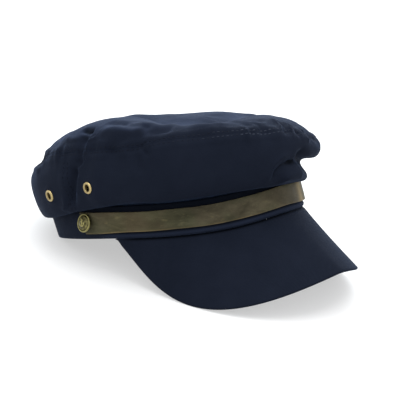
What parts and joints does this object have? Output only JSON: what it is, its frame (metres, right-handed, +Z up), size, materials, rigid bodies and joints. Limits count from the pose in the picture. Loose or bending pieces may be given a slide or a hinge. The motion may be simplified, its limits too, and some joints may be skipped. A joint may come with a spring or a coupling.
{
  "type": "fisherman cap",
  "caption": "Soft slouching cloth cap on a head band, with a stiff drooping peak and a buttoned leather strap.",
  "frame": {"origin": "middle of the cap's bounding box, at the floor that it rests on", "axes": "+Z up as it rests, +Y towards the back of the cap (the peak points along -Y), +X towards the wearer's left"},
  "size_m": [0.2082, 0.2762, 0.1273],
  "materials": {
    "twill": "matt navy cotton twill, a little faded on the raised seams",
    "leather": "distressed dark olive-brown leather with lighter rubbed patches",
    "button_brass": "antique brass, dark in the hollows and bright on the rim",
    "eyelet_brass": "pale polished brass"
  },
  "bodies": {
    "root": {"band": "twill", "peak": "twill", "strap": "leather", "top_panel": "twill", "side_panel_front": "twill", "side_panel_back": "twill", "eyelet_front_right": "eyelet_brass", "eyelet_rear_right": "eyelet_brass", "eyelet_front_left": "eyelet_brass", "eyelet_rear_left": "eyelet_brass", "button_right": "button_brass", "button_left": "button_brass"}
  },
  "joints": []
}
